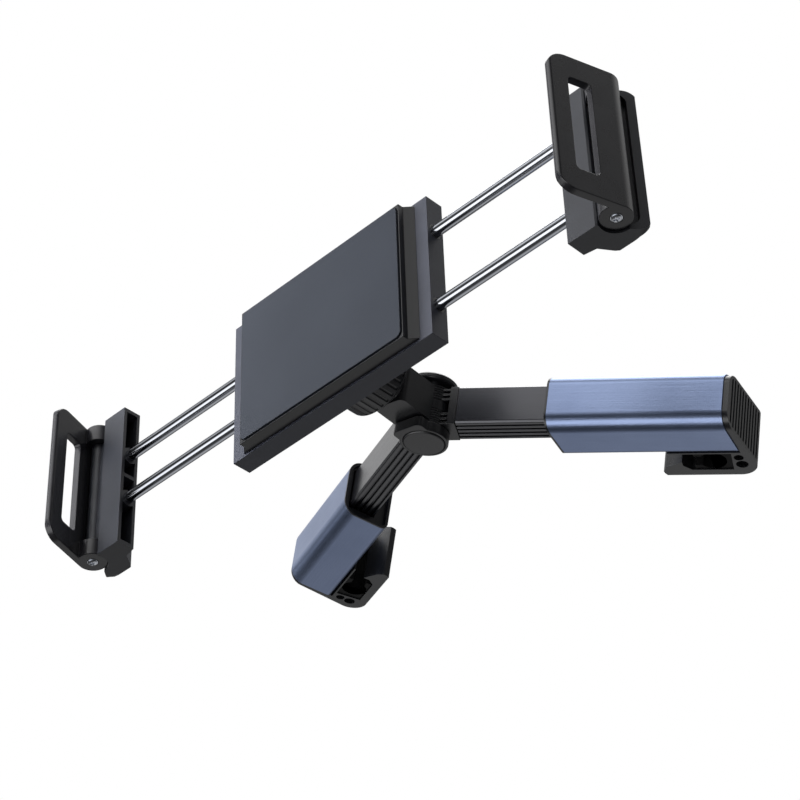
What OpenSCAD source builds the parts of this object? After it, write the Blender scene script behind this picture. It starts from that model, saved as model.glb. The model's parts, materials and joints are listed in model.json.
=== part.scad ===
// Headrest tablet mount: two telescopic arms with post hooks on one hub, and a
// tablet clamp on a ball joint. Millimetres, +Z along the headrest posts, +Y to
// the headrest, origin on the hub's axis at the arms' mid-height.

/* [Hub] */
// Radius of the hinge fins around the pin
knuckle_r = 10.5; // [10:0.25:11]
// Radius of the hub pin
pin_r = 4; // [3:0.1:5]
// Number of interleaved fins of each arm above and below the neck's knuckle
fin_count = 3; // [2:1:3]
// Thickness of a right arm fin
right_fin_t = 1.2; // [1:0.05:1.4]
// Thickness of a left arm fin
left_fin_t = 0.8; // [0.7:0.05:1]
// Clear gap between neighbouring fins
fin_gap = 0.25; // [0.2:0.01:0.3]
// Bottom of the neck's knuckle
neck_knuckle_z = -1.9; // [-2.1:0.1:-1.8]
// Height of the neck's knuckle
neck_knuckle_h = 5.1; // [5:0.05:5.3]
// Radius of the top cap
top_cap_r = 12.3; // [11:0.1:14]
// Height of the top cap
top_cap_h = 3.8; // [3:0.1:6]
// Radius of the lower plate
lower_plate_r = 11.2; // [10.8:0.1:13]
// Height of the lower plate
lower_plate_h = 5.2; // [4.5:0.1:7]
// Radius of the bottom cap
bottom_cap_r = 9.6; // [8:0.1:10]

/* [Neck and ball] */
// Distance from the hub's axis to the ball's centre
ball_reach = 39.2; // [38:0.1:44]
// Radius of the ball
ball_r = 8.5; // [8:0.1:8.7]
// Radius of the ball's shank
shank_r = 5; // [4:0.1:5.2]
// Half width of the neck
neck_half_w = 8.5; // [7:0.1:9.5]
// Height of the neck
neck_h = 18.6; // [14:0.2:19]
// Distance from the ball's centre to the neck's front
neck_gap = 13; // [12:0.1:15]
// Turn of the tablet clamp about the post direction
head_yaw = -3.9; // [-12:0.1:12]
// Tilt of the tablet clamp, positive looks down
head_pitch = 2.5; // [-12:0.1:12]
// Roll of the tablet clamp about its own normal
head_roll = -10.4; // [-90:0.1:90]

/* [Ball socket] */
// Wall of the friction ring and of the socket cup
liner_t = 1; // [0.8:0.05:1.1]
// Clear gap between the ball, its liners and the socket
liner_gap = 0.3; // [0.25:0.05:0.4]
// Radius of the threaded socket behind the housing
socket_r = 16; // [15:0.1:17]
// Outer radius of the lock ring
lock_ring_r = 19.5; // [19:0.1:22]
// Length of the lock ring
lock_ring_h = 15.4; // [14:0.1:15.8]
// Number of grip grooves round the lock ring
lock_ring_grooves = 36; // [24:1:40]

/* [Clamp body] */
// Width of the housing
housing_w = 124; // [116:1:140]
// Height of the housing
housing_h = 79.2; // [76:0.2:90]
// Depth of the housing
housing_d = 9.8; // [9.6:0.1:12]
// Height of the front block above the housing
block_d = 6.3; // [5:0.1:8]
// Width of the flared foot on each side of the front block
block_flare = 4; // [2:0.1:5]
// Depth of that flared foot
block_flare_d = 3.6; // [2:0.1:4]
// Rim of the front block round the pad
block_rim = 0.7; // [0.6:0.1:1.2]
// Width of the soft pad
pad_w = 100; // [90:0.5:102]
// Height of the soft pad
pad_h = 74.6; // [65:0.2:75]
// Thickness of the soft pad
pad_t = 1.7; // [1.2:0.1:3]
// Depth of the pad's seat in the front block
pad_seat = 0.9; // [0.5:0.1:1.1]
// Distance from the housing's back to the ball's centre
ball_back = 16.5; // [15.8:0.1:18]
// Height of the housing's centre above the ball
head_rise = 9.3; // [0:0.1:14]

/* [Rods] */
// Radius of the clamp rods
rod_r = 2.8; // [2.5:0.05:3]
// Running clearance round a rod or a pin
run_gap = 0.05; // [0.03:0.01:0.08]
// Half distance between the two right rods
right_rod_z = 21.2; // [20:0.1:24]
// Half distance between the two left rods
left_rod_z = 12.6; // [10:0.1:13]
// Length of a rod inside the jaw
rod_seat = 12; // [8:0.5:13]
// Length of a rod guide
guide_h = 14; // [8:0.5:20]
// Distance from the clamp's middle to a jaw at full reach
jaw_reach = 143; // [143:1:150]

/* [Jaws] */
// How far the right jaw is pushed in from full reach
right_jaw_in = 5; // [0:0.1:75]
// How far the left jaw is pushed in from full reach
left_jaw_in = 1.1; // [0:0.1:75]
// Height of a jaw
jaw_h = 79.6; // [78:0.2:90]
// Width of a jaw's front face
jaw_face = 14.6; // [14:0.1:15]
// Depth of a jaw at its inner side
jaw_d = 9.7; // [9.4:0.1:10]
// Distance from a jaw's inner side to its hinge
hinge_x = 22.7; // [22.6:0.1:23]
// Distance from a jaw's front to its hinge
hinge_y = 3.8; // [3.5:0.1:4]
// Wall of the jaw's pockets
jaw_wall = 1.7; // [1.5:0.1:2]
// Radius of the boss round a rod
boss_r = 4.3; // [3.8:0.1:4.4]

/* [Paddles] */
// Reach of a paddle from its hinge
paddle_reach = 31; // [26:0.5:31]
// Height of a paddle
paddle_h = 77; // [74:0.5:77.5]
// Thickness of a paddle
paddle_t = 3.6; // [3:0.1:4]
// Radius of a paddle's barrel
barrel_r = 7.2; // [6.8:0.1:7.2]
// Height of the barrel's end lugs
lug_h = 9; // [7:0.5:12]
// Radius of the paddle's hinge pin
hinge_pin_r = 1.6; // [1.2:0.1:2]
// Toe-in of a paddle
toe_in = 17; // [10:0.5:20]
// Height of the slot in a paddle
slot_h = 52; // [40:1:56]
// Width of the slot in a paddle
slot_w = 11; // [8:0.5:12]
// Distance from the hinge to the slot's middle
slot_u = 16.2; // [15:0.1:18]

/* [Arms] */
// Angle of the right arm from the X axis
right_arm_angle = 27.8; // [12:0.1:54]
// Angle of the left arm from the X axis
left_arm_angle = 27.8; // [12:0.1:54]
// Height of the arms' centre line above the hub's origin
arm_rise = 1; // [0.6:0.1:1.2]
// Front of a bar, measured from the arm's centre line
bar_front = 7.1; // [6.5:0.1:7.5]
// Back of a bar, measured from the arm's centre line
bar_back = 6.6; // [6.2:0.1:7]
// Height of a bar
bar_h = 19.8; // [19:0.1:20.2]
// Where a bar starts, from the hub's axis
bar_start = 15; // [14.5:0.1:17]
// Where a bar ends, from the hub's axis
bar_end = 95; // [90:0.5:95]
// Number of grooves along a bar's top and bottom
bar_grooves = 4; // [2:1:4]

/* [Sleeves] */
// Hub end of the right sleeve, from the hub's axis
right_sleeve_start = 57.3; // [24:0.1:80]
// Hub end of the left sleeve, from the hub's axis
left_sleeve_start = 79.9; // [24:0.1:80]
// Length of a sleeve along its front
sleeve_len = 78.3; // [76:0.1:90]
// Height of a sleeve
sleeve_h = 29.2; // [28:0.1:31]
// Front of a sleeve, measured from the arm's centre line
sleeve_front = 10.5; // [10.2:0.1:12]
// Back of a sleeve, measured from the arm's centre line
sleeve_back = 14.4; // [13.8:0.1:14.6]
// Wall of a sleeve
sleeve_wall = 1.4; // [1.2:0.1:1.5]
// Radius of a sleeve's front corners
front_corner = 7.2; // [5:0.1:7.6]
// Radius of a sleeve's back corners
back_corner = 3.5; // [3.3:0.1:5]
// Slant of a sleeve's hub end
hub_end_slant = 13.4; // [8:0.1:16]
// Slant of a sleeve's outer end
outer_end_slant = 13; // [10:0.1:14]

/* [Hooks] */
// Thickness of the end cap at its front
cap_t = 2.3; // [2:0.1:3.5]
// Slant of the end cap's outer face
cap_slant = 16.5; // [14:0.1:18]
// Number of grip ribs on the end cap
cap_ribs = 13; // [8:1:14]
// Step from the sleeve's outline down to the hook's
hook_inset = 0.7; // [0.3:0.1:1]
// Outer face of the hook's lip, from the arm's centre line
lip_y = 32.4; // [32.2:0.1:34]
// Thickness of the hook's lip
lip_t = 4.2; // [3.5:0.1:4.3]
// Length of the hook's lip from the sleeve's end to its tip
lip_len = 30; // [28:0.5:34]
// Radius of the post seat
post_r = 6; // [5:0.1:6]
// Distance from the sleeve's end back to the post seat
post_x = 7.3; // [7:0.1:8]
// Width of the rubber grip's mouth
grip_mouth = 7; // [6:0.1:8]

/* [Hidden] */
$fn = 64;
EPS = 0.01;
BIG = 400;
SEAT_GAP = 0.3;
TOUCH_GAP = 0.02;

RIGHT = 1;
LEFT = -1;

// Layers of the hinge stack
fin_pitch = right_fin_t + left_fin_t + 2 * fin_gap;
fin_group_h = fin_count * fin_pitch - fin_gap;
upper_group_z = neck_knuckle_z + neck_knuckle_h + SEAT_GAP;
lower_group_z = neck_knuckle_z - SEAT_GAP - fin_group_h;
left_fin_lift = right_fin_t + fin_gap;
stack_top = upper_group_z + fin_group_h;
stack_bottom = lower_group_z;
washer_t = 2;
washer_z = stack_top + SEAT_GAP;
top_cap_z = washer_z + washer_t;
lower_plate_z = stack_bottom - SEAT_GAP - lower_plate_h;
cap_recess = 1.6;
pin_bottom = lower_plate_z + cap_recess + 0.2;
pin_seat = 1.8;

// Neck and socket, measured from the ball's centre
socket_cavity_r = ball_r + 2 * liner_t + 3 * liner_gap;
neck_len = ball_reach - neck_gap;
neck_z = 0.3 - neck_h / 2;
ring_back = 5.2;
ring_front = ring_back - lock_ring_h;

// Housing depth coordinates: the front face of the housing is y = 0
ball_y = housing_d + ball_back;
block_w = pad_w + 2 * SEAT_GAP + 2 * block_rim;
block_h = pad_h + 2 * SEAT_GAP + 2 * block_rim;
pad_corner = 3;
rod_y = housing_d / 2;
channel_r = rod_r + 0.9;
channel_end_wall = 10;
collar_r = channel_r - SEAT_GAP;
collar_h = 2;

// Jaw and paddle details
barrel_gap = 0.4;
jaw_back_y = 18.3;
lip_angle = 50.3;
lip_x = hinge_x - 6.5;
lip_y0 = hinge_y - 0.8;
lip_run = 19.6;
lip_edge_t = 2.6;
pan_depth = 3.8;
pan_rim = 3.9;
pan_end_rim = 2.4;
pan_corner = 7;
shell_t = 3;
jaw_knuckle_r = barrel_r - shell_t - barrel_gap;
paddle_corner = 9;
slot_corner = 2;
pin_head_r = 2.6;
pin_head_seat = 0.9;

// Fittings in the sleeve
bar_gap = 0.3;
bush_h = 8.2;
glide_h = 4.5;
plug_h = 1.2;
plug_wall = 1.6;
root_start = knuckle_r + 0.7;
bar_core_front = 3.6;
bar_core_back = 3.2;
bar_core_h = 10.4;
groove_w = 1.3;
groove_d = 1.2;
groove_pitch = 2.9;

// Hook details, measured from the sleeve's outer end along its front
base_y = sleeve_back + 0.2;
base_t = 0.8;
lip_in_y = lip_y - lip_t;
post_y = (base_y + base_t + lip_in_y) / 2;
grip_end = 1.5;
pocket_x = 4.6;
bend_r = 8;
bend_y = lip_y - bend_r;
cap_rim = 1.5;
cap_rib_pitch = (bend_y + sleeve_front - cap_rim) / (cap_ribs - 1);
cap_rib_d = 0.8;
grip_inset = hook_inset + 0.6;

// Rectangle from (x0, y0) to (x1, y1) with round corners, built from exact shapes
module round_rect(x0, y0, x1, y1, r) {
    translate([x0 + r, y0])
        square([x1 - x0 - 2 * r, y1 - y0]);
    translate([x0, y0 + r])
        square([x1 - x0, y1 - y0 - 2 * r]);
    for (x = [x0 + r, x1 - r], y = [y0 + r, y1 - r])
        translate([x, y])
            circle(r = r);
}

// Half space of x > 0 turned by an angle about Z
module half_space(angle) {
    rotate([0, 0, angle])
        translate([0, -BIG / 2, -BIG / 2])
            cube([BIG, BIG, BIG]);
}

// Local frames

// Tablet clamp: x along the rods, y from the housing's front to its back
module at_head() {
    translate([0, -ball_reach, 0])
        rotate([0, 0, head_yaw])
            rotate([head_pitch, 0, 0])
                rotate([0, head_roll, 0])
                    translate([0, -ball_y, head_rise])
                        children();
}

// Ball socket: z from the ball's centre towards the hub
module at_socket() {
    at_head()
        translate([0, ball_y, -head_rise])
            rotate([-90, 0, 0])
                children();
}

// Jaw: x outwards from its inner side
module at_jaw(side) {
    at_head()
        scale_side(side)
            translate([jaw_reach - (side == RIGHT ? right_jaw_in : left_jaw_in), 0, 0])
                children();
}

// Paddle: x from the hinge to the free edge, y to the paddle's outer face
module at_paddle(side) {
    at_jaw(side)
        translate([hinge_x, hinge_y, 0])
            rotate([0, 0, -90 - toe_in])
                children();
}

// Mirrors its children for the left side
module scale_side(side) {
    if (side == RIGHT)
        children();
    else
        mirror([1, 0, 0])
            children();
}

// Arm: x outwards from the hub's axis, y to the headrest
module at_arm(side) {
    scale_side(side)
        rotate([0, 0, side == RIGHT ? right_arm_angle : left_arm_angle])
            children();
}

// Bar: as the arm, at the height of its centre line
module at_bar(side) {
    at_arm(side)
        translate([0, 0, arm_rise])
            children();
}

// Sleeve: x outwards from its hub end
module at_sleeve(side) {
    at_bar(side)
        translate([side == RIGHT ? right_sleeve_start : left_sleeve_start, 0, 0])
            children();
}

// Hook: x outwards from the sleeve's outer end
module at_hook(side) {
    at_sleeve(side)
        translate([sleeve_len, 0, 0])
            children();
}

// Hub

module hub_frame() {
    color("#232427")
        difference() {
            union() {
                translate([0, -neck_len, neck_z])
                    linear_extrude(neck_h)
                        round_rect(-neck_half_w, 0, neck_half_w, neck_len - 2, 3);
                translate([0, 0, neck_knuckle_z])
                    linear_extrude(neck_knuckle_h)
                        circle(r = knuckle_r);
                translate([0, -neck_len - 2, 0])
                    rotate([-90, 0, 0])
                        cylinder(r1 = shank_r + 2, r2 = shank_r + 3, h = 2 + EPS);
            }
            for (z = [neck_z - EPS, neck_knuckle_z + neck_knuckle_h])
                translate([0, 0, z])
                    cylinder(r = knuckle_r + 0.4, h = z < 0 ? neck_knuckle_z - z : BIG);
            translate([0, 0, -BIG / 2])
                cylinder(r = pin_r + TOUCH_GAP, h = BIG);
            translate([0, -ball_reach, 0])
                rotate([-90, 0, 0])
                    cylinder(r = shank_r - 1 + TOUCH_GAP, h = neck_gap + 8);
        }
}

module ball_stud() {
    color("#8a8c90")
        translate([0, -ball_reach, 0])
            rotate([-90, 0, 0]) {
                sphere(r = ball_r);
                cylinder(r = shank_r, h = neck_gap - 2.2);
                cylinder(r = shank_r - 1, h = neck_gap + 7.6);
            }
}

module hub_pin() {
    color("#9a9da2")
        translate([0, 0, pin_bottom])
            cylinder(r = pin_r, h = top_cap_z + pin_seat - 0.2 - pin_bottom);
}

module top_cap() {
    color("#2a2b2e")
        translate([0, 0, top_cap_z])
            difference() {
                rotate_extrude()
                    polygon([
                        [0, 0], [top_cap_r - 0.6, 0], [top_cap_r, 0.6],
                        [top_cap_r, top_cap_h - 1.4], [top_cap_r - 0.9, top_cap_h - 0.5],
                        [top_cap_r - 2.4, top_cap_h], [0, top_cap_h]
                    ]);
                translate([0, 0, -EPS])
                    cylinder(r = pin_r + TOUCH_GAP, h = pin_seat);
            }
}

module upper_washer() {
    color("#55575c")
        translate([0, 0, washer_z])
            difference() {
                cylinder(r = 7.4, h = washer_t - TOUCH_GAP);
                translate([0, 0, -EPS])
                    cylinder(r = pin_r + TOUCH_GAP, h = washer_t + 1);
            }
}

module lower_plate() {
    color("#242528")
        translate([0, 0, lower_plate_z])
            difference() {
                linear_extrude(lower_plate_h) {
                    circle(r = lower_plate_r);
                    round_rect(-8.4, -13.4, 8.4, 0, 3);
                }
                translate([0, 0, -EPS])
                    cylinder(r = bottom_cap_r + 0.15, h = cap_recess);
                translate([0, 0, -EPS])
                    cylinder(r = pin_r + TOUCH_GAP, h = lower_plate_h + 1);
            }
}

module bottom_cap() {
    color("#303135")
        translate([0, 0, lower_plate_z - 0.5])
            rotate_extrude()
                polygon([
                    [0, 0], [bottom_cap_r - 0.5, 0], [bottom_cap_r, 0.5],
                    [bottom_cap_r, cap_recess + 0.4], [0, cap_recess + 0.4]
                ]);
}

// Arms

// One layer of an arm's hinge: a disc round the pin with a tongue to the root
module fin(thickness) {
    linear_extrude(thickness)
        difference() {
            union() {
                circle(r = knuckle_r);
                translate([0, -bar_front])
                    square([root_start + 1, bar_front + bar_back]);
            }
            circle(r = pin_r + run_gap);
        }
}

module arm_root(side) {
    fin_t = side == RIGHT ? right_fin_t : left_fin_t;
    lift = side == RIGHT ? 0 : left_fin_lift;
    for (base = [upper_group_z, lower_group_z], i = [0:fin_count - 1])
        translate([0, 0, base + lift + i * fin_pitch])
            fin(fin_t);
    translate([root_start, -bar_front, stack_bottom])
        cube([bar_start - root_start, bar_front + bar_back, stack_top - stack_bottom]);
    translate([bar_start - EPS, -bar_core_front + 0.1, arm_rise - bar_core_h / 2 + 0.1])
        cube([14, bar_core_front + bar_core_back - 0.2, bar_core_h - 0.2]);
}

module right_arm_root() {
    color("#1f2023")
        at_arm(RIGHT)
            arm_root(RIGHT);
}

module left_arm_root() {
    color("#1f2023")
        at_arm(LEFT)
            arm_root(LEFT);
}

// Extruded bar with grooves along its top and bottom and a square core
module arm_bar() {
    groove_span = (bar_grooves - 1) * groove_pitch;
    translate([bar_start + 0.05, 0, 0])
        rotate([90, 0, 90])
            linear_extrude(bar_end - bar_start - glide_h / 2)
                difference() {
                    polygon([
                        [-bar_front, -bar_h / 2 + 1], [-bar_front + 0.8, -bar_h / 2],
                        [bar_back, -bar_h / 2], [bar_back, bar_h / 2],
                        [-bar_front + 0.8, bar_h / 2], [-bar_front, bar_h / 2 - 1]
                    ]);
                    translate([-bar_core_front, -bar_core_h / 2])
                        square([bar_core_front + bar_core_back, bar_core_h]);
                    for (i = [0:bar_grooves - 1], s = [-1, 1])
                        translate([
                            i * groove_pitch - groove_span / 2 + 0.4 - groove_w / 2,
                            s * bar_h / 2 - groove_d
                        ])
                            square([groove_w, 2 * groove_d]);
                }
}

module right_arm_bar() {
    color("#4a4c54")
        at_bar(RIGHT)
            arm_bar();
}

module left_arm_bar() {
    color("#4a4c54")
        at_bar(LEFT)
            arm_bar();
}

// Plastic shoe on the bar's end that fills the sleeve and stops the travel
module bar_glide() {
    translate([bar_end - glide_h, 0, 0])
        difference() {
            along_sleeve(glide_h)
                sleeve_outline(sleeve_wall + bar_gap);
            translate([-EPS, -bar_front - 0.05, -bar_h / 2 - 0.05])
                cube([glide_h / 2 + 0.2, bar_front + bar_back + 0.1, bar_h + 0.1]);
        }
}

module right_bar_glide() {
    color("#18191b")
        at_bar(RIGHT)
            bar_glide();
}

module left_bar_glide() {
    color("#18191b")
        at_bar(LEFT)
            bar_glide();
}

// Sleeves

// Section of a sleeve, shrunk on all sides by an inset
module sleeve_outline(inset, back = sleeve_back) {
    x0 = inset - sleeve_front;
    x1 = back - inset;
    half_h = sleeve_h / 2 - inset;
    front_r = front_corner - inset;
    back_r = back_corner - inset;
    translate([x0 + front_r, -half_h])
        square([x1 - x0 - front_r - back_r, 2 * half_h]);
    translate([x0, front_r - half_h])
        square([x1 - x0 - back_r, 2 * (half_h - front_r)]);
    translate([x0 + front_r, back_r - half_h])
        square([x1 - x0 - front_r, 2 * (half_h - back_r)]);
    for (s = [-1, 1]) {
        translate([x0 + front_r, s * (half_h - front_r)])
            circle(r = front_r);
        translate([x1 - back_r, s * (half_h - back_r)])
            circle(r = back_r);
    }
}

// Draws a section along the arm
module along_sleeve(length) {
    rotate([90, 0, 90])
        linear_extrude(length)
            children();
}

// Cuts both ends of a sleeve to their slants, measured along its front face
module slanted_ends(inset = 0) {
    difference() {
        children();
        translate([inset, -sleeve_front, 0])
            mirror([1, 0, 0])
                half_space(hub_end_slant);
        translate([sleeve_len - inset, -sleeve_front, 0])
            half_space(-outer_end_slant);
    }
}

module sleeve() {
    slanted_ends()
        difference() {
            along_sleeve(sleeve_len + 20)
                sleeve_outline(0);
            translate([-1, 0, 0])
                along_sleeve(sleeve_len + 22)
                    sleeve_outline(sleeve_wall);
        }
}

// Plastic bush in the sleeve's hub end that guides the bar
module sleeve_bush() {
    slanted_ends(0.8)
        difference() {
            along_sleeve(bush_h)
                sleeve_outline(sleeve_wall + TOUCH_GAP);
            translate([-1, -bar_front - bar_gap, -bar_h / 2 - bar_gap])
                cube([bush_h + 2, bar_front + bar_back + 2 * bar_gap, bar_h + 2 * bar_gap]);
        }
}

module right_sleeve() {
    color("#8094bd")
        at_sleeve(RIGHT)
            sleeve();
}

module left_sleeve() {
    color("#8094bd")
        at_sleeve(LEFT)
            sleeve();
}

module right_sleeve_bush() {
    color("#151618")
        at_sleeve(RIGHT)
            sleeve_bush();
}

module left_sleeve_bush() {
    color("#151618")
        at_sleeve(LEFT)
            sleeve_bush();
}

// Hooks

// Plan outline of the end cap and the J-shaped hook behind the sleeve
module hook_outline() {
    bend_x = cap_t + tan(cap_slant) * (bend_y + sleeve_front) - bend_r / cos(cap_slant);
    difference() {
        union() {
            polygon([
                [0.05, -sleeve_front], [cap_t, -sleeve_front],
                [bend_x + bend_r * cos(cap_slant), bend_y - bend_r * sin(cap_slant)],
                [bend_x, bend_y], [bend_x, lip_y], [1 - lip_len, lip_y],
                [-lip_len, lip_y - 1.6], [-lip_len - 0.4, lip_in_y + 1], [1.4 - lip_len, lip_in_y - 2],
                [8.7 - lip_len, lip_in_y - 6.4], [9 - lip_len, lip_in_y - 3.4],
                [12.8 - lip_len, lip_in_y], [grip_end, lip_in_y], [grip_end, base_y + base_t],
                [3 - lip_len, base_y + base_t], [3 - lip_len, base_y],
                [0.05 + tan(outer_end_slant) * (base_y + sleeve_front), base_y]
            ]);
            intersection() {
                translate([bend_x, bend_y])
                    circle(r = bend_r);
                translate([grip_end, 0])
                    square([BIG, BIG]);
            }
        }
        translate([pocket_x, post_y - 3.2])
            circle(r = 2.2);
        translate([pocket_x + 1, post_y + 2.2])
            circle(r = 2.8);
    }
}

// Grip grooves along the cap's slanted outer face
module cap_grooves() {
    intersection() {
        for (i = [0:cap_ribs - 1])
            translate([
                cap_t + tan(cap_slant) * (cap_rim + i * cap_rib_pitch),
                cap_rim + i * cap_rib_pitch - sleeve_front, 0
            ])
                rotate([0, 0, -cap_slant])
                    cube([2 * cap_rib_d, cap_rib_pitch / 2, sleeve_h], center = true);
        hook_slice(hook_inset + cap_rim);
    }
}

// The hook's front edges are round like the sleeve's
module hook_slice(inset) {
    translate([-lip_len - 10, 0, 0])
        along_sleeve(2 * lip_len + 20)
            sleeve_outline(inset, lip_y + 10);
}

module hook() {
    difference() {
        intersection() {
            translate([0, 0, -sleeve_h / 2])
                linear_extrude(sleeve_h)
                    hook_outline();
            hook_slice(hook_inset);
        }
        cap_grooves();
    }
    translate([-plug_h, 0, 0])
        difference() {
            along_sleeve(sleeve_len)
                sleeve_outline(sleeve_wall + 0.1);
            translate([-EPS, 0, 0])
                along_sleeve(sleeve_len + 1)
                    sleeve_outline(sleeve_wall + plug_wall);
            translate([plug_h + 0.2, -sleeve_front, 0])
                half_space(-outer_end_slant);
        }
}

module right_hook() {
    color("#1b1c1e")
        at_hook(RIGHT)
            hook();
}

module left_hook() {
    color("#1b1c1e")
        at_hook(LEFT)
            hook();
}

// Rubber block in the hook with the round post seat and its mouth
module post_grip() {
    translate([0, 0, grip_inset - sleeve_h / 2])
        linear_extrude(sleeve_h - 2 * grip_inset)
            difference() {
                translate([-post_x - post_r - 2.6, base_y + base_t + TOUCH_GAP])
                    square([
                        post_x + post_r + 2.6 + grip_end - TOUCH_GAP,
                        lip_in_y - base_y - base_t - 2 * TOUCH_GAP
                    ]);
                translate([-post_x, post_y])
                    circle(r = post_r);
                translate([-post_x - post_r - 5, post_y - grip_mouth / 2])
                    square([post_r + 5, grip_mouth]);
            }
}

module right_post_grip() {
    color("#101112")
        at_hook(RIGHT)
            post_grip();
}

module left_post_grip() {
    color("#101112")
        at_hook(LEFT)
            post_grip();
}

// Ball socket

// Zone of a spherical shell between two polar angles from the socket's axis
module shell_zone(inner, thickness, from, to) {
    rotate_extrude()
        polygon([
            for (a = [from:4:to]) (inner + thickness) * [sin(a), cos(a)],
            for (a = [to:-4:from]) inner * [sin(a), cos(a)]
        ]);
}

module friction_ring() {
    color("#c9c4b8")
        at_socket()
            shell_zone(ball_r + liner_gap, liner_t, 64, 112);
}

module socket_cup() {
    color("#3b3d42")
        at_socket()
            shell_zone(ball_r + 2 * liner_gap + liner_t, liner_t, 66, 134);
}

module socket_base() {
    color("#2b2d31")
        at_socket()
            difference() {
                translate([0, 0, -ball_back])
                    cylinder(r = socket_r, h = ball_back + 0.2);
                sphere(r = socket_cavity_r);
            }
}

module lock_ring() {
    color("#26282c")
        at_socket()
            difference() {
                rotate_extrude()
                    polygon([
                        [0, ring_front], [lock_ring_r - 0.8, ring_front],
                        [lock_ring_r, ring_front + 0.8], [lock_ring_r, ring_back - 1.6],
                        [lock_ring_r - 1.6, ring_back], [0, ring_back]
                    ]);
                sphere(r = socket_cavity_r);
                translate([0, 0, ring_front - EPS])
                    cylinder(r = socket_r + SEAT_GAP, h = 0.5 - ring_front);
                for (i = [0:lock_ring_grooves - 1])
                    rotate([0, 0, i * 360 / lock_ring_grooves])
                        translate([lock_ring_r + 0.35, 0, ring_front - EPS])
                            cylinder(r = 0.9, h = lock_ring_h - 2, $fn = 16);
            }
}

// Clamp body

// One of the four rod positions: side, height and the jaw it belongs to
RODS = [
    [RIGHT, right_rod_z], [RIGHT, -right_rod_z],
    [LEFT, left_rod_z], [LEFT, -left_rod_z]
];

// Shape along each rod, starting at the housing's end and running inwards
module along_rods(radius, length, outset = 0) {
    for (rod = RODS)
        scale_side(rod[0])
            translate([housing_w / 2 + outset, rod_y, rod[1]])
                rotate([0, -90, 0])
                    cylinder(r = radius, h = length);
}

module rear_housing() {
    color("#3a3d4a")
        at_head()
            difference() {
                translate([-housing_w / 2, 0, -housing_h / 2])
                    cube([housing_w, housing_d, housing_h]);
                along_rods(channel_r, housing_w - channel_end_wall, 1);
            }
}

module front_block() {
    color("#2a2c33")
        at_head()
            difference() {
                translate([0, 0, -block_h / 2])
                    linear_extrude(block_h)
                        polygon([
                            [-block_w / 2 - block_flare, 0], [-block_w / 2, -block_flare_d],
                            [-block_w / 2, -block_d], [block_w / 2, -block_d],
                            [block_w / 2, -block_flare_d], [block_w / 2 + block_flare, 0]
                        ]);
                translate([0, pad_seat - block_d, 0])
                    pad_outline(SEAT_GAP, pad_t);
            }
}

// The pad's block, grown outwards on all sides by a gap
module pad_outline(gap, depth) {
    rotate([90, 0, 0])
        linear_extrude(depth)
            round_rect(
                -pad_w / 2 - gap, -pad_h / 2 - gap, pad_w / 2 + gap, pad_h / 2 + gap,
                pad_corner + gap
            );
}

module front_pad() {
    color("#54575f")
        at_head()
            translate([0, pad_seat - block_d, 0])
                pad_outline(0, pad_t);
}

module rod_guides() {
    color("#17181a")
        at_head()
            difference() {
                along_rods(channel_r - TOUCH_GAP, guide_h);
                along_rods(rod_r + run_gap, guide_h + 2, 1);
            }
}

// Screws in the housing's back, round the socket
module housing_screws() {
    color("#8d9096")
        at_head()
            for (x = [-1, 1], z = [-1, 1])
                translate([x * (housing_w / 2 - 8), housing_d, z * (housing_h / 2 - 6)])
                    rotate([-90, 0, 0])
                        cylinder(r1 = 2.6, r2 = 2.2, h = 1, $fn = 32);
}

// Jaws

// Point of the slanted tray in the jaw's plan: along its lip and in front of it
function on_lip(along, ahead) = [
    lip_x + along * cos(lip_angle) + ahead * sin(lip_angle),
    lip_y0 + along * sin(lip_angle) - ahead * cos(lip_angle)
];

// Tray's frame: x along the lip, y behind its plane, z up
module at_lip() {
    translate([lip_x, lip_y0, 0])
        rotate([0, 0, lip_angle])
            children();
}

// Plan outline of a jaw: front block, stepped back, slanted tray and round hinge bay
module jaw_outline() {
    difference() {
        polygon([
            [0, 0], [jaw_face, 0], [jaw_face + 0.8, 0.6], on_lip(0, 0), on_lip(lip_run, 0),
            on_lip(lip_run + 0.2, -lip_edge_t), [23, jaw_back_y], [12, jaw_back_y],
            [10.4, jaw_back_y - 1.4], [6.2, jaw_d + 1], [0, jaw_d]
        ]);
        translate([hinge_x, hinge_y])
            circle(r = barrel_r + barrel_gap);
    }
}

// Rounded outline in the tray's plane, drawn through its depth
module lip_outline(from, to, inset, corner, front, back) {
    at_lip()
        translate([0, back, 0])
            rotate([90, 0, 0])
                linear_extrude(back - front)
                    round_rect(from, inset - jaw_h / 2, to, jaw_h / 2 - inset, corner);
}

// Pocket from the jaw's inner side, between two heights
module jaw_pocket(low, high) {
    translate([-EPS, jaw_wall, low])
        cube([rod_seat, jaw_d - 2 * jaw_wall, high - low]);
}

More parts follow.
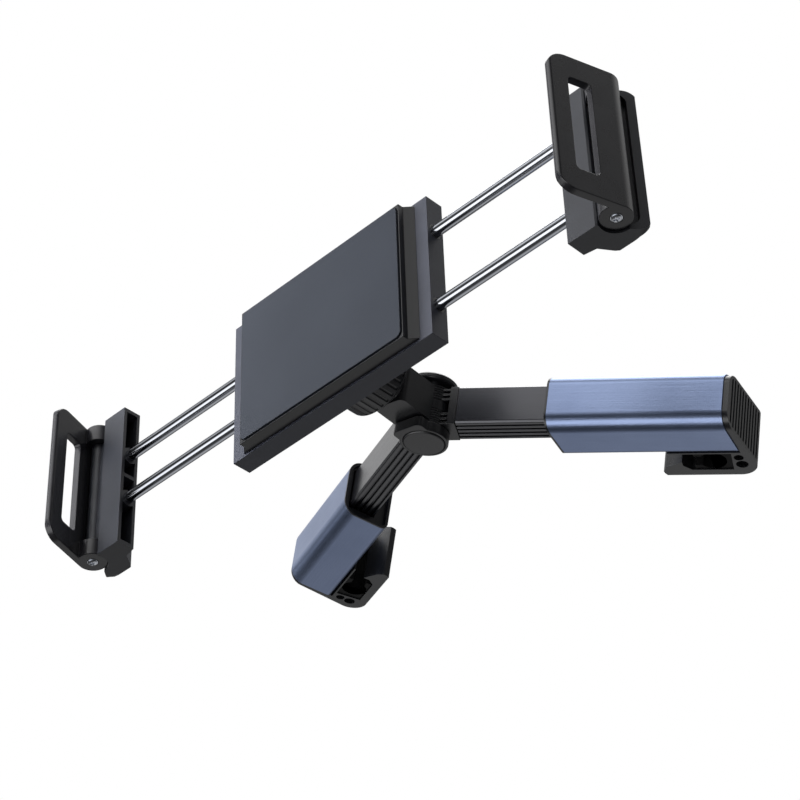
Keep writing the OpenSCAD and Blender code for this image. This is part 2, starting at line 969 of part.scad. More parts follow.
module jaw(rod_z) {
    pocket_end = jaw_h / 2 - 2;
    difference() {
        union() {
            intersection() {
                translate([0, 0, -jaw_h / 2])
                    linear_extrude(jaw_h)
                        jaw_outline();
                lip_outline(-3 * lip_run, lip_run + 1, 0, pan_corner, -2 * lip_run, 2 * lip_run);
            }
            translate([0, 0, lug_h + barrel_gap - paddle_h / 2]) {
                translate([hinge_x, hinge_y, 0])
                    cylinder(r = jaw_knuckle_r, h = paddle_h - 2 * lug_h - 2 * barrel_gap);
                translate([jaw_face - 1, hinge_y - 1.6, 0])
                    cube([hinge_x - jaw_face, 3.2, paddle_h - 2 * lug_h - 2 * barrel_gap]);
            }
        }
        difference() {
            lip_outline(
                barrel_r / 2, lip_run - pan_rim, pan_end_rim, pan_corner - 2, -lip_run, pan_depth
            );
            translate([hinge_x, hinge_y, 0])
                cylinder(r = barrel_r + barrel_gap - EPS, h = BIG, center = true);
        }
        for (s = [-1, 1])
            translate([0, rod_y, s * rod_z])
                rotate([0, 90, 0])
                    cylinder(r = rod_r + TOUCH_GAP, h = rod_seat, center = false);
        difference() {
            union() {
                jaw_pocket(-pocket_end, -rod_z);
                jaw_pocket(rod_z, pocket_end);
                jaw_pocket(-rod_z, -1);
                jaw_pocket(1, rod_z);
            }
            for (s = [-1, 1])
                translate([-1, rod_y, s * rod_z])
                    rotate([0, 90, 0])
                        cylinder(r = boss_r, h = rod_seat + 2);
        }
        translate([hinge_x, hinge_y, -BIG / 2])
            cylinder(r = hinge_pin_r + TOUCH_GAP, h = BIG);
        for (s = [-1, 1])
            translate([6, rod_y, s * rod_z])
                rotate([-90, 0, 0])
                    cylinder(r = 1.3, h = 20);
    }
}

module right_jaw() {
    color("#33353d")
        at_jaw(RIGHT)
            jaw(right_rod_z);
}

module left_jaw() {
    color("#33353d")
        at_jaw(LEFT)
            jaw(left_rod_z);
}

// Rod with a collar on its inner end, which meets the guide at full reach
module rod(z) {
    tail = jaw_reach - housing_w / 2 + guide_h + collar_h;
    translate([-tail, rod_y, z])
        rotate([0, 90, 0]) {
            cylinder(r = rod_r, h = tail + rod_seat - 0.2);
            cylinder(r = collar_r, h = collar_h);
        }
}

module right_upper_rod() {
    color("#d5d7db")
        at_jaw(RIGHT)
            rod(right_rod_z);
}

module right_lower_rod() {
    color("#d5d7db")
        at_jaw(RIGHT)
            rod(-right_rod_z);
}

module left_upper_rod() {
    color("#d5d7db")
        at_jaw(LEFT)
            rod(left_rod_z);
}

module left_lower_rod() {
    color("#d5d7db")
        at_jaw(LEFT)
            rod(-left_rod_z);
}

// Screws in the jaw's back that lock the two rods
module rod_screws(rod_z) {
    for (s = [-1, 1])
        translate([6, rod_y + rod_r + 0.05, s * rod_z])
            rotate([-90, 0, 0])
                cylinder(r = 1.25, h = jaw_d - rod_y - rod_r - 0.4);
}

module right_rod_screws() {
    color("#b9bcc2")
        at_jaw(RIGHT)
            rod_screws(right_rod_z);
}

module left_rod_screws() {
    color("#b9bcc2")
        at_jaw(LEFT)
            rod_screws(left_rod_z);
}

// Pin through the paddle's lugs and the jaw's knuckle, with a head at each end
module paddle_pin() {
    translate([hinge_x, hinge_y, 0]) {
        cylinder(r = hinge_pin_r, h = paddle_h - pin_head_seat, center = true);
        for (s = [-1, 1])
            translate([0, 0, s * (paddle_h / 2 - pin_head_seat / 2 + 0.1)])
                cylinder(r = pin_head_r, h = pin_head_seat, center = true);
    }
}

module right_paddle_pin() {
    color("#c4c7cc")
        at_jaw(RIGHT)
            paddle_pin();
}

module left_paddle_pin() {
    color("#c4c7cc")
        at_jaw(LEFT)
            paddle_pin();
}

// Paddles

// Plan section of a paddle: flat plate running into a shell round the hinge
module paddle_section() {
    translate([paddle_reach - paddle_t / 2, barrel_r - paddle_t / 2])
        circle(r = paddle_t / 2);
    difference() {
        union() {
            translate([0, barrel_r - paddle_t])
                square([paddle_reach - paddle_t / 2, paddle_t]);
            intersection() {
                circle(r = barrel_r);
                translate([-2 * barrel_r, 0])
                    square([2 * barrel_r + EPS, 2 * barrel_r]);
            }
        }
        circle(r = barrel_r - shell_t);
    }
}

module paddle() {
    difference() {
        union() {
            intersection() {
                translate([0, 0, -paddle_h / 2])
                    linear_extrude(paddle_h)
                        paddle_section();
                translate([0, barrel_r + 1, 0])
                    rotate([90, 0, 0])
                        linear_extrude(2 * barrel_r + 2)
                            round_rect(
                                -2 * barrel_r - paddle_corner, -paddle_h / 2,
                                paddle_reach, paddle_h / 2, paddle_corner
                            );
            }
            for (z = [-paddle_h / 2, paddle_h / 2 - lug_h])
                translate([0, 0, z])
                    cylinder(r = barrel_r, h = lug_h);
        }
        for (s = [-1, 1])
            translate([0, 0, s * paddle_h / 2])
                cylinder(r = pin_head_r + run_gap, h = 2 * pin_head_seat, center = true);
        translate([0, 0, -paddle_h])
            cylinder(r = hinge_pin_r + run_gap, h = 2 * paddle_h);
        translate([0, 2 * barrel_r, 0])
            rotate([90, 0, 0])
                linear_extrude(2 * barrel_r + 4)
                    round_rect(
                        slot_u - slot_w / 2, -slot_h / 2,
                        slot_u + slot_w / 2, slot_h / 2, slot_corner
                    );
    }
}

module right_paddle() {
    color("#202124")
        at_paddle(RIGHT)
            paddle();
}

module left_paddle() {
    color("#202124")
        at_paddle(LEFT)
            paddle();
}

hub_frame();
ball_stud();
hub_pin();
top_cap();
upper_washer();
lower_plate();
bottom_cap();
right_arm_root();
right_arm_bar();
right_bar_glide();
left_arm_root();
left_arm_bar();
left_bar_glide();
right_sleeve();
right_sleeve_bush();
right_hook();
right_post_grip();
left_sleeve();
left_sleeve_bush();
left_hook();
left_post_grip();
friction_ring();
socket_cup();
lock_ring();
socket_base();
rear_housing();
front_block();
front_pad();
rod_guides();
housing_screws();
right_jaw();
right_upper_rod();
right_lower_rod();
right_paddle_pin();
right_rod_screws();
left_jaw();
left_upper_rod();
left_lower_rod();
left_paddle_pin();
left_rod_screws();
right_paddle();
left_paddle();
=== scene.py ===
import json
import math
import bmesh
import bpy
from mathutils import Matrix, Vector


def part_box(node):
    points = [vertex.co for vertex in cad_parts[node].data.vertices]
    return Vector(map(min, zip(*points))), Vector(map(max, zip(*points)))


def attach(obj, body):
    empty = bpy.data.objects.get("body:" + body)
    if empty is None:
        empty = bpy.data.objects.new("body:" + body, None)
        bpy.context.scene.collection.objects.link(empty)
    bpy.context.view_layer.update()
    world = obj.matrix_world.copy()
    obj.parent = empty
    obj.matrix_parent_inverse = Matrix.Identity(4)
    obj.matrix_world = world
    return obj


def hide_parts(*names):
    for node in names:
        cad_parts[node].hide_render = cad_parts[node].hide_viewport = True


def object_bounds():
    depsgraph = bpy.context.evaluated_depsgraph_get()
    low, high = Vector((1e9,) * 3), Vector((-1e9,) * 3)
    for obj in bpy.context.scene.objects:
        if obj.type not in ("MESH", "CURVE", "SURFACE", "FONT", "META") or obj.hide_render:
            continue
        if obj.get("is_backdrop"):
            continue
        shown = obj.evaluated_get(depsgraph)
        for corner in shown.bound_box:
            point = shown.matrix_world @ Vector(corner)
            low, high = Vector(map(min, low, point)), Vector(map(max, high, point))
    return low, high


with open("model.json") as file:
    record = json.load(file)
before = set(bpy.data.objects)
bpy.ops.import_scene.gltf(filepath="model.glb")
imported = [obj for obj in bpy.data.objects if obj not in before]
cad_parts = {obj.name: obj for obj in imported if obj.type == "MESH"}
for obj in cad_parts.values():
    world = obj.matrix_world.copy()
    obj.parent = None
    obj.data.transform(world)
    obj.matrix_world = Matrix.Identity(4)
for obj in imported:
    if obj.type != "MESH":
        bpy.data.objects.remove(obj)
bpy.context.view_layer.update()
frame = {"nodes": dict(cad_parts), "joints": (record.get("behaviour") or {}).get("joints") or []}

mm = 0.001
sides = ("right", "left")
restSwing = 27.8   # degrees of each arm from straight across, at rest
print("frame loaded:", len(frame["nodes"]), "nodes")


def fromHex(code):
    # an sRGB hex colour as linear light
    parts = [int(code[i:i + 2], 16) / 255 for i in (1, 3, 5)]
    return [c / 12.92 if c <= 0.04045 else ((c + 0.055) / 1.055) ** 2.4 for c in parts] + [1.0]


def feed(tree, socket, source):
    # a socket takes either another node's output or a plain value
    if isinstance(source, bpy.types.NodeSocket):
        tree.links.new(source, socket)
    else:
        socket.default_value = source


def addNode(tree, kind, settings=None, **inputs):
    # settings are the node's own properties, inputs go to its sockets by name
    made = tree.nodes.new(kind)
    for name, value in (settings or {}).items():
        setattr(made, name, value)
    for name, source in inputs.items():
        feed(tree, made.inputs[name.replace("_", " ")], source)
    return made


def calculate(tree, operation, first, second):
    made = addNode(tree, "ShaderNodeMath", {"operation": operation})
    feed(tree, made.inputs[0], first)
    feed(tree, made.inputs[1], second)
    return made.outputs["Value"]


mixSockets = {
    # the mix node's colour sockets, which share their names with those for numbers
    "first": 6,
    "second": 7,
    "result": 2,
}


def mixColours(tree, factor, first, second):
    made = addNode(tree, "ShaderNodeMix", {"data_type": "RGBA"}, Factor=factor)
    feed(tree, made.inputs[mixSockets["first"]], first)
    feed(tree, made.inputs[mixSockets["second"]], second)
    return made.outputs[mixSockets["result"]]


def rampBetween(tree, source, stops):
    # colour ramp from a list of (position, linear colour)
    ramp = addNode(tree, "ShaderNodeValToRGB", Fac=source)
    while len(ramp.color_ramp.elements) < len(stops):
        ramp.color_ramp.elements.new(0.5)
    for element, (position, colour) in zip(ramp.color_ramp.elements, stops):
        element.position = position
        element.color = colour
    return ramp.outputs["Color"]


def noise(tree, place, **settings):
    return addNode(tree, "ShaderNodeTexNoise", Vector=place, **settings).outputs["Fac"]


def startMaterial(name, colour, **settings):
    mat = bpy.data.materials.new(name)
    mat.use_nodes = True
    tree = mat.node_tree
    shader = tree.nodes["Principled BSDF"]
    shader.inputs["Base Color"].default_value = fromHex(colour)
    for key, value in settings.items():
        shader.inputs[key.replace("_", " ")].default_value = value
    place = tree.nodes.new("ShaderNodeTexCoord").outputs["Object"]
    return mat, tree, shader, place


tintStops = (0.3, 0.7)   # the part of a noise's range in which one tone turns into the other


def joinTint(tree, shader, mottle, shade, colour):
    # the base colour wanders between two near tones
    stops = list(zip(tintStops, (fromHex(shade), fromHex(colour))))
    feed(tree, shader.inputs["Base Color"], rampBetween(tree, mottle, stops))


def joinRoughness(tree, shader, mottle, low, high):
    spread = addNode(tree, "ShaderNodeMapRange", To_Min=low, To_Max=high, Value=mottle)
    feed(tree, shader.inputs["Roughness"], spread.outputs["Result"])


def joinBump(tree, shader, height, strength, depth):
    # depth in mm
    bump = addNode(tree, "ShaderNodeBump", Strength=strength, Distance=depth * mm, Height=height)
    feed(tree, shader.inputs["Normal"], bump.outputs["Normal"])


def mouldedPlastic(name, colour, shade, grain, roughness, depth, specular=0.5):
    # injection moulded ABS: spark-eroded tool grain gives a fine even pebble and a soft sheen
    mat, tree, shader, place = startMaterial(name, colour, IOR=1.54, Specular_IOR_Level=specular)
    blotch = noise(tree, place, Scale=60.0, Detail=3.0)
    pebble = noise(tree, place, Scale=1 / (grain * mm), Detail=2.0)
    joinTint(tree, shader, blotch, shade, colour)
    joinRoughness(tree, shader, pebble, low=roughness - 0.07, high=roughness + 0.07)
    joinBump(tree, shader, pebble, strength=0.6, depth=depth)
    return mat


def anodisedExtrusion(name, side, colour, shade, roughness, coat=0.0):
    # anodised 6063 aluminium: die lines run along it, the etched skin scatters to a satin
    mat, tree, shader, place = startMaterial(name + " " + side, colour, Metallic=0.86,
                                             Roughness=roughness, Coat_Weight=coat,
                                             Coat_Roughness=0.22)
    turn = math.radians(restSwing if side == "right" else 180 - restSwing)
    turned = addNode(tree, "ShaderNodeMapping", Rotation=(0, 0, -turn), Vector=place)
    along = turned.outputs["Vector"]
    drawn = addNode(tree, "ShaderNodeMapping", Scale=(0.02, 1, 1), Vector=along)
    dieLines = noise(tree, drawn.outputs["Vector"], Scale=1600.0, Detail=2.0)   # 0.6 mm apart
    etch = noise(tree, place, Scale=950.0, Detail=2.0)   # 1 mm speckle
    cloud = noise(tree, along, Scale=35.0, Detail=2.0)
    joinTint(tree, shader, cloud, shade, colour)
    joinRoughness(tree, shader, dieLines, low=roughness - 0.06, high=roughness + 0.08)
    joinBump(tree, shader, calculate(tree, "ADD", dieLines, etch), strength=0.8, depth=0.045)
    return mat


def platedMetal(name, colour, roughness, scratchScale):
    # plated steel: a mirror skin with faint polishing haze
    mat, tree, shader, place = startMaterial(name, colour, Metallic=1.0, Roughness=roughness)
    haze = noise(tree, place, Scale=scratchScale, Detail=4.0)
    joinRoughness(tree, shader, haze, low=roughness * 0.6, high=roughness * 1.5)
    joinBump(tree, shader, haze, strength=0.15, depth=0.01)
    return mat


def polishedPlastic(name, colour, shade, roughness):
    # high-gloss ABS from a polished tool: deep black with slight flow marks
    mat, tree, shader, place = startMaterial(name, colour, IOR=1.5, Roughness=roughness)
    flow = noise(tree, place, Scale=90.0, Detail=3.0, Distortion=0.6)
    joinTint(tree, shader, flow, shade, colour)
    joinRoughness(tree, shader, flow, low=roughness - 0.05, high=roughness + 0.06)
    joinBump(tree, shader, flow, strength=0.1, depth=0.05)
    return mat


def softRubber(name, colour, shade, grain, roughness):
    # silicone rubber: matt, slightly dusty, with a fine moulded stipple
    mat, tree, shader, place = startMaterial(name, colour, IOR=1.43, Specular_IOR_Level=0.35)
    stipple = addNode(tree, "ShaderNodeTexVoronoi", Scale=1 / (grain * mm), Vector=place)
    dust = noise(tree, place, Scale=25.0, Detail=5.0)
    joinTint(tree, shader, dust, shade, colour)
    joinRoughness(tree, shader, dust, low=roughness - 0.05, high=roughness + 0.08)
    joinBump(tree, shader, stipple.outputs["Distance"], strength=0.5, depth=0.04)
    return mat


finishes = {
    # grain and depth in mm
    "hubBlack": mouldedPlastic("glass filled nylon", "#343539", "#2d2e32",
                               grain=0.5, roughness=0.3, depth=0.02, specular=0.6),
    "hookBlack": mouldedPlastic("moulded hook nylon", "#303135", "#292a2e",
                                grain=0.6, roughness=0.3, depth=0.02, specular=0.6),
    "housing": mouldedPlastic("grained housing abs", "#3a3d49", "#343742",
                              grain=0.45, roughness=0.5, depth=0.02),
    "block": mouldedPlastic("smooth block abs", "#1c1d21", "#17181b",
                            grain=0.45, roughness=0.36, depth=0.015),
    "jaw": mouldedPlastic("grained jaw abs", "#2f3138", "#292b31",
                          grain=0.45, roughness=0.45, depth=0.02),
    "paddle": polishedPlastic("polished flap abs", "#2e2e32", "#28282c", roughness=0.24),
    "pad": softRubber("slate silicone pad", "#30343c", "#2b2f37", grain=0.8, roughness=0.72),
    "grip": softRubber("black post rubber", "#141415", "#101011", grain=0.7, roughness=0.65),
    "rightSleeve": anodisedExtrusion("anodised blue sleeve", "right", "#8b9abc", "#8291b3",
                                     roughness=0.3),
    "leftSleeve": anodisedExtrusion("anodised blue sleeve", "left", "#8b9abc", "#8291b3",
                                    roughness=0.3),
    "rightBar": anodisedExtrusion("anodised dark bar", "right", "#3c3d44", "#35363c",
                                  roughness=0.38, coat=1.0),
    "leftBar": anodisedExtrusion("anodised dark bar", "left", "#3c3d44", "#35363c",
                                 roughness=0.38, coat=1.0),
    "chrome": platedMetal("chromed rod steel", "#b4b7be", roughness=0.12, scratchScale=400.0),
    "screw": platedMetal("zinc plated screw steel", "#c3c6cc", roughness=0.22, scratchScale=900.0),
    "ball": platedMetal("bead blasted ball steel", "#7f8187", roughness=0.4, scratchScale=900.0),
    "acetal": mouldedPlastic("natural acetal ring", "#cfcabd", "#c6c1b4",
                             grain=0.8, roughness=0.5, depth=0.01),
}
print("finishes ready:", len(finishes))


edgeWork = {
    # angles in degrees
    "weldGap": 0.002,       # mm; points nearer than this are one
    "flatAngle": 0.8,       # facets within this of one plane become one face
    "cornerAngle": 28,      # edges over this are broken
    "cornerSegments": 2,
    "shadeAngle": 32,       # edges over this stay sharp in the shading
    "faceWeight": 80,       # how far the broad faces lead the shading
}


def openSolid(nodeName):
    # a solid's mesh where it stands, with doubled points welded
    source = frame["nodes"][nodeName]
    bm = bmesh.new()
    bm.from_mesh(source.data)
    bm.transform(source.matrix_world)
    bmesh.ops.remove_doubles(bm, verts=bm.verts, dist=edgeWork["weldGap"] * mm)
    return bm


def finishPiece(bm, name, body, slotName, material, *stands):
    # the mesh becomes a piece that rides its body, in place of the solids that it stands for
    mesh = bpy.data.meshes.new(name)
    bm.to_mesh(mesh)
    bm.free()
    for polygon in mesh.polygons:
        polygon.use_smooth = True
    mesh.set_sharp_from_angle(angle=math.radians(edgeWork["shadeAngle"]))
    mesh.materials.append(material)
    piece = bpy.data.objects.new(name, mesh)
    bpy.context.scene.collection.objects.link(piece)
    # broad faces keep flat shading, so only the small edges catch the light
    flatten = piece.modifiers.new("face weighted normals", "WEIGHTED_NORMAL")
    flatten.keep_sharp = True
    flatten.weight = edgeWork["faceWeight"]
    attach(piece, body)
    if stands:
        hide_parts(*stands)


def workedCopy(nodeName, body, slotName, material, edge):
    # a copy of a solid with its moulded or broken edges, in place of the plain one; edge in mm
    bm = openSolid(nodeName)
    bmesh.ops.dissolve_limit(bm, angle_limit=math.radians(edgeWork["flatAngle"]),
                             verts=bm.verts, edges=bm.edges)
    corners = [e for e in bm.edges if len(e.link_faces) == 2
               and e.calc_face_angle(0) > math.radians(edgeWork["cornerAngle"])]
    bmesh.ops.bevel(bm, geom=corners, offset=edge * mm, segments=edgeWork["cornerSegments"],
                    profile=0.5, affect="EDGES", clamp_overlap=True, material=-1, loop_slide=True)
    finishPiece(bm, nodeName + "_worked", body, slotName, material, nodeName)


plainPieces = {
    # node: (body, record slot, finish, edge in mm)
    "hub_frame": ("hub", "black_plastic", "hubBlack", 0.5),
    "ball_stud": ("hub", "steel", "ball", 0.1),
    "hub_pin": ("hub", "steel", "screw", 0.2),
    "top_cap": ("hub", "black_plastic", "hubBlack", 0.2),
    "upper_washer": ("hub", "steel", "screw", 0.2),
    "lower_plate": ("hub", "black_plastic", "hubBlack", 0.5),
    "bottom_cap": ("hub", "black_plastic", "hubBlack", 0.15),
    "friction_ring": ("ball_ring", "pale_liner", "acetal", 0.1),
    "socket_cup": ("ball_cup", "black_plastic", "hubBlack", 0.1),
    "lock_ring": ("ring_nut", "black_plastic", "hubBlack", 0.25),
    "socket_base": ("head", "black_plastic", "hubBlack", 0.4),
    "rear_housing": ("head", "housing_plastic", "housing", 0.5),
    "front_block": ("head", "housing_plastic", "block", 0.25),
    "front_pad": ("head", "pad_rubber", "pad", 0.4),
    "rod_guides": ("head", "black_plastic", "hubBlack", 0.15),
    "housing_screws": ("head", "steel", "screw", 0.15),
}
for side in sides:
    arm, extension = side + "_arm", side + "_extension"
    clamp, flap = side + "_clamp", side + "_flap"
    plainPieces.update({
        side + "_arm_root": (arm, "black_plastic", "hubBlack", 0.2),
        side + "_arm_bar": (arm, "dark_aluminium", side + "Bar", 0.25),
        side + "_bar_glide": (arm, "black_plastic", "hubBlack", 0.3),
        side + "_sleeve": (extension, "blue_aluminium", side + "Sleeve", 0.25),
        side + "_sleeve_bush": (extension, "black_plastic", "hubBlack", 0.2),
        side + "_hook": (extension, "black_plastic", "hookBlack", 0.35),
        side + "_post_grip": (extension, "rubber_grip", "grip", 0.3),
        side + "_jaw": (clamp, "housing_plastic", "jaw", 0.4),
        side + "_upper_rod": (clamp, "chrome_rod", "chrome", 0.3),
        side + "_lower_rod": (clamp, "chrome_rod", "chrome", 0.3),
        side + "_paddle_pin": (clamp, "steel", "screw", 0.2),
        side + "_rod_screws": (clamp, "steel", "screw", 0.15),
        side + "_paddle": (flap, "gloss_black", "paddle", 0.6),
    })
for nodeName, (body, slotName, finish, edge) in plainPieces.items():
    workedCopy(nodeName, body, slotName, finishes[finish], edge)
print("pieces worked:", len(plainPieces))


def vertsOf(result):
    # the points among what a bmesh operator has made
    return [made for made in result["geom"] if isinstance(made, bmesh.types.BMVert)]


hingeScrew = {
    # sizes in mm
    "radius": 2.2,
    "height": 0.6,
    "dome": 0.35,
    "slotWidth": 0.75,
    "slotReach": 1.45,
    "slotDepth": 0.7,
    "slotTaper": 0.8,       # the cross's floor against its mouth
    "cornerPull": 0.85,     # draws in the corners between two slots
    "gridFaces": 5,         # faces across the grid that the head is made from
    "fromMiddle": 38.45,    # from the hinge's middle to the head's seat
}


def crossHeadScrew(name, centre, outward, body):
    # a grid pushed out to a disc, with the cross in its middle sunk for the driver
    bm = bmesh.new()
    across = hingeScrew["gridFaces"]
    bmesh.ops.create_grid(bm, x_segments=across, y_segments=across, size=1)
    step = 2 / across
    cross = []
    for face in bm.faces:
        middle = face.calc_center_median()
        near, far = sorted((abs(middle.x), abs(middle.y)))
        if near < 0.5 * step and far < 1.5 * step:
            cross.append(face)
    half = hingeScrew["slotWidth"] / 2 / hingeScrew["radius"]
    reach = hingeScrew["slotReach"] / hingeScrew["radius"]
    for vert in bm.verts:
        onRim = max(abs(vert.co.x), abs(vert.co.y)) > 1 - 0.5 * step
        if onRim:
            vert.co = vert.co.normalized()
        else:
            outerX, outerY = abs(vert.co.x) > step, abs(vert.co.y) > step
            vert.co.x = math.copysign(reach if outerX else half, vert.co.x)
            vert.co.y = math.copysign(reach if outerY else half, vert.co.y)
            if outerX and outerY:
                vert.co *= hingeScrew["cornerPull"]
        vert.co *= hingeScrew["radius"]
        vert.co.z = hingeScrew["height"] + (0 if onRim else hingeScrew["dome"])
    floorVerts = vertsOf(bmesh.ops.extrude_face_region(bm, geom=cross))
    bmesh.ops.delete(bm, geom=cross, context="FACES")
    taper = hingeScrew["slotTaper"]
    bmesh.ops.scale(bm, verts=floorVerts, vec=(taper, taper, 1))
    bmesh.ops.translate(bm, verts=floorVerts, vec=(0, 0, -hingeScrew["slotDepth"]))
    rim = [e for e in bm.edges if e.is_boundary]
    skirtVerts = vertsOf(bmesh.ops.extrude_edge_only(bm, edges=rim))
    bmesh.ops.translate(bm, verts=skirtVerts, vec=(0, 0, -hingeScrew["height"]))
    bmesh.ops.contextual_create(bm, geom=[e for e in bm.edges if e.is_boundary])
    bmesh.ops.recalc_face_normals(bm, faces=bm.faces)
    turn = outward.to_track_quat("Z", "Y").to_matrix().to_4x4()
    place = Matrix.Translation(centre) @ turn @ Matrix.Scale(mm, 4)
    bmesh.ops.transform(bm, matrix=place, verts=bm.verts)
    finishPiece(bm, name, body, "steel", finishes["screw"])


for joint in frame["joints"]:
    if joint["name"].endswith("paddle_fold"):
        side = joint["name"].split("_")[0]
        axis = Vector(joint["axis"]).normalized()
        for end, way in (("upper", 1), ("lower", -1)):
            seat = Vector(joint["pos_m"]) + axis * way * hingeScrew["fromMiddle"] * mm
            crossHeadScrew(side + "_" + end + "_hinge_screw", seat, axis * way, side + "_clamp")
print("hinge screws placed")


sleeveRim = {
    "thickness": 0.9,   # mm
    "reach": 24.0,      # mm; how far the slanted mouth runs back along the arm
    "facing": 0.5,      # how squarely a face looks at the hub to be part of the mouth
}


def rimSleeve(side, outward):
    # the bush's black rim over the cut mouth of the sleeve, on the hub's side
    bm = openSolid(side + "_sleeve")
    nearest = min(v.co.dot(outward) for v in bm.verts)
    mouth = [f for f in bm.faces if f.normal.dot(outward) < -sleeveRim["facing"]
             and f.calc_center_median().dot(outward) < nearest + sleeveRim["reach"] * mm]
    bmesh.ops.delete(bm, geom=[f for f in bm.faces if f not in mouth], context="FACES")
    rimVerts = vertsOf(bmesh.ops.extrude_face_region(bm, geom=bm.faces[:]))
    bmesh.ops.translate(bm, verts=rimVerts, vec=-outward * sleeveRim["thickness"] * mm)
    bmesh.ops.recalc_face_normals(bm, faces=bm.faces)
    finishPiece(bm, side + "_sleeve_rim", side + "_extension", "black_plastic",
                finishes["hubBlack"])


for joint in frame["joints"]:
    if joint["name"].endswith("sleeve_slide"):
        side = joint["name"].split("_")[0]
        outward = Vector(joint["axis"]).normalized()
        low, high = (Vector(corner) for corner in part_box(side + "_sleeve"))
        if outward.dot(low + high) < 0:
            outward = -outward
        rimSleeve(side, outward)
print("sleeve rims placed")


studio = {
    "floorHeight": -0.70,
    "floorReach": 40,           # metres from the middle to each side
    "floorColour": "#f2f2f2",   # as the camera sees it
    "floorBounce": "#727272",   # as it lights the undersides
    "floorLift": 0.35,          # keeps the paper pale where the lamps don't reach
    "skyStrength": 2.6,
    "across": [
        # (how far to the right the light comes from, grey level)
        (-1.0, 0.20), (-0.75, 0.36), (-0.5, 0.95), (-0.1, 0.95), (0.2, 0.85), (0.5, 0.36),
        (0.75, 0.14), (1.0, 0.03),
    ],
    "around": [
        # (degrees round the mount's long way, from the front over the top to the back, grey level)
        (-180, 0.03), (-137, 0.30), (-105, 0.03), (-66, 0.03), (-56, 1.0), (-32, 1.0), (-20, 0.03),
        (2, 0.03), (17, 0.08), (31, 0.60), (50, 0.72), (63, 0.10), (86, 0.10), (100, 0.40),
        (124, 0.40), (135, 0.14), (160, 0.12), (180, 0.03),
    ],
    "unseenLamps": ("leftStrip",),   # they light, but don't show in the chrome
    "lamps": {
        # name: (place, size, power in watts, aims at)
        "topBox": ((-0.3, 0.2, 1.5), 1.2, 12, (0, 0, 0)),
        "leftCard": ((-1.64, 0.33, 1.09), 1.5, 2.6, (0, 0, 0)),
        "leftStrip": ((-0.42, -0.43, 0.1), 0.5, 8.6, (-0.16, 0, 0)),
        "frontBox": ((-0.2, -1.7, 1.0), 1.8, 4, (0, 0, 0)),
    },
}


def layFloor():
    # pale to the camera, dim to everything else, so that undersides stay deep
    bm = bmesh.new()
    bmesh.ops.create_grid(bm, x_segments=1, y_segments=1, size=studio["floorReach"])
    bmesh.ops.translate(bm, verts=bm.verts, vec=(0, 0, studio["floorHeight"]))
    mesh = bpy.data.meshes.new("studio_floor")
    bm.to_mesh(mesh)
    bm.free()
    mat, tree, shader = startMaterial("pale paper floor", studio["floorColour"], Roughness=0.9,
                                      Specular_IOR_Level=0.1)[:3]
    seen = tree.nodes.new("ShaderNodeLightPath").outputs["Is Camera Ray"]
    paper = mixColours(tree, seen, fromHex(studio["floorBounce"]), fromHex(studio["floorColour"]))
    feed(tree, shader.inputs["Base Color"], paper)
    feed(tree, shader.inputs["Emission Color"], fromHex("#ffffff"))
    lift = calculate(tree, "MULTIPLY", seen, studio["floorLift"])
    feed(tree, shader.inputs["Emission Strength"], lift)
    mesh.materials.append(mat)
    floor = bpy.data.objects.new("studio_floor", mesh)
    floor.visible_glossy = False   # reflections see the world's low light strip instead
    bpy.context.scene.collection.objects.link(floor)
    floor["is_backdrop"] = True


def greyStops(levels, start, span):
    # ramp stops from pairs of a place and a grey level, on a scale that begins at start
    return [((place - start) / span, (grey, grey, grey, 1)) for place, grey in levels]


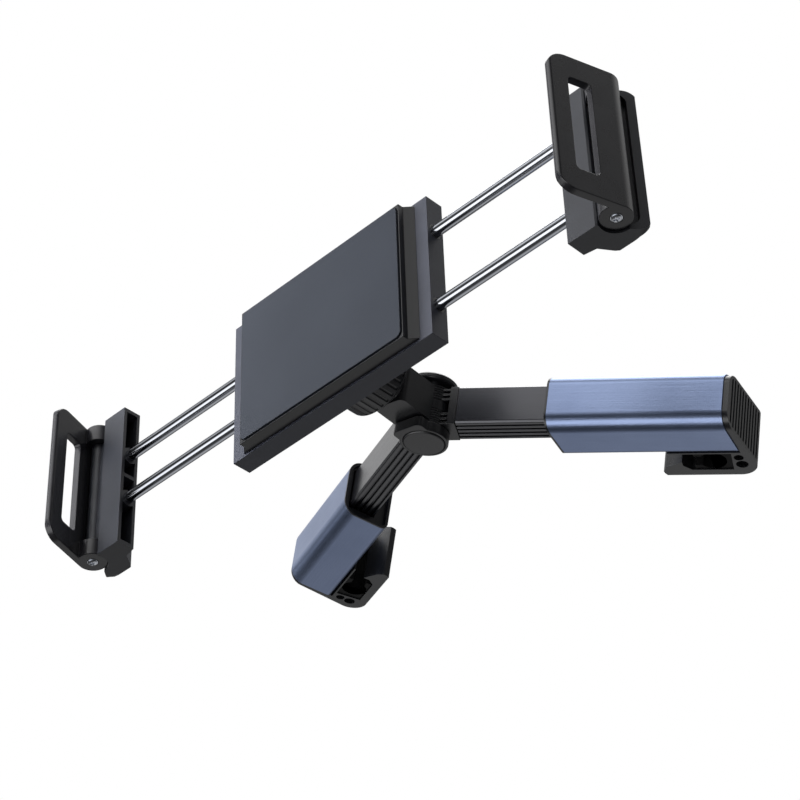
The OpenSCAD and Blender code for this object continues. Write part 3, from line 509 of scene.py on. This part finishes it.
def lightWorld():
    # white behind the object; reflections see a bright ceiling, a dark horizon and a low strip
    world = bpy.data.worlds.new("white studio")
    bpy.context.scene.world = world
    world.use_nodes = True
    tree = world.node_tree
    back = tree.nodes["Background"]
    direction = tree.nodes.new("ShaderNodeTexCoord").outputs["Generated"]
    split = addNode(tree, "ShaderNodeSeparateXYZ", Vector=direction)
    ahead = calculate(tree, "MULTIPLY", split.outputs["Y"], -1)
    angle = calculate(tree, "ARCTAN2", split.outputs["Z"], ahead)
    turned = addNode(tree, "ShaderNodeMapRange", From_Min=-math.pi, From_Max=math.pi, Value=angle)
    aside = addNode(tree, "ShaderNodeMapRange", From_Min=-1.0, From_Max=1.0,
                    Value=split.outputs["X"])
    around = rampBetween(tree, turned.outputs["Result"],
                         greyStops(studio["around"], start=-180, span=360))
    across = rampBetween(tree, aside.outputs["Result"],
                         greyStops(studio["across"], start=-1, span=2))
    level = calculate(tree, "MULTIPLY", across, studio["skyStrength"])
    path = tree.nodes.new("ShaderNodeLightPath")
    seen = calculate(tree, "MAXIMUM", path.outputs["Is Camera Ray"],
                     path.outputs["Is Transmission Ray"])
    strength = addNode(tree, "ShaderNodeMapRange", To_Min=level, To_Max=1.0, Value=seen)
    feed(tree, back.inputs["Color"], mixColours(tree, seen, around, fromHex("#ffffff")))
    feed(tree, back.inputs["Strength"], strength.outputs["Result"])


def hangLamps():
    for name, (place, size, power, aim) in studio["lamps"].items():
        lamp = bpy.data.lights.new(name, "AREA")
        lamp.size = size
        lamp.energy = power
        holder = bpy.data.objects.new(name, lamp)
        holder.location = place
        holder.rotation_euler = (Vector(aim) - Vector(place)).to_track_quat("-Z", "Y").to_euler()
        holder.visible_glossy = name not in studio["unseenLamps"]
        bpy.context.scene.collection.objects.link(holder)


photoCamera = {
    # fitted to the photograph
    "place": (0.6621, -0.6616, -0.6030),   # metres
    "right": (0.7492, 0.6493, 0.1313),
    "up": (0.2775, -0.4875, 0.8278),
    "sensorWidth": 36,                     # mm
    "focalLength": 109.81,                 # mm
}


def setCamera():
    lens = bpy.data.cameras.new("photo_camera")
    lens.sensor_width = photoCamera["sensorWidth"]
    lens.lens = photoCamera["focalLength"]
    holder = bpy.data.objects.new("photo_camera", lens)
    right, up = Vector(photoCamera["right"]), Vector(photoCamera["up"])
    turn = Matrix((right, up, right.cross(up))).transposed().to_4x4()
    holder.matrix_world = Matrix.Translation(photoCamera["place"]) @ turn
    bpy.context.scene.collection.objects.link(holder)
    bpy.context.scene.camera = holder


layFloor()
lightWorld()
hangLamps()
setCamera()
bpy.context.scene.view_settings.view_transform = "Standard"
print("studio ready")

low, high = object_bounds()
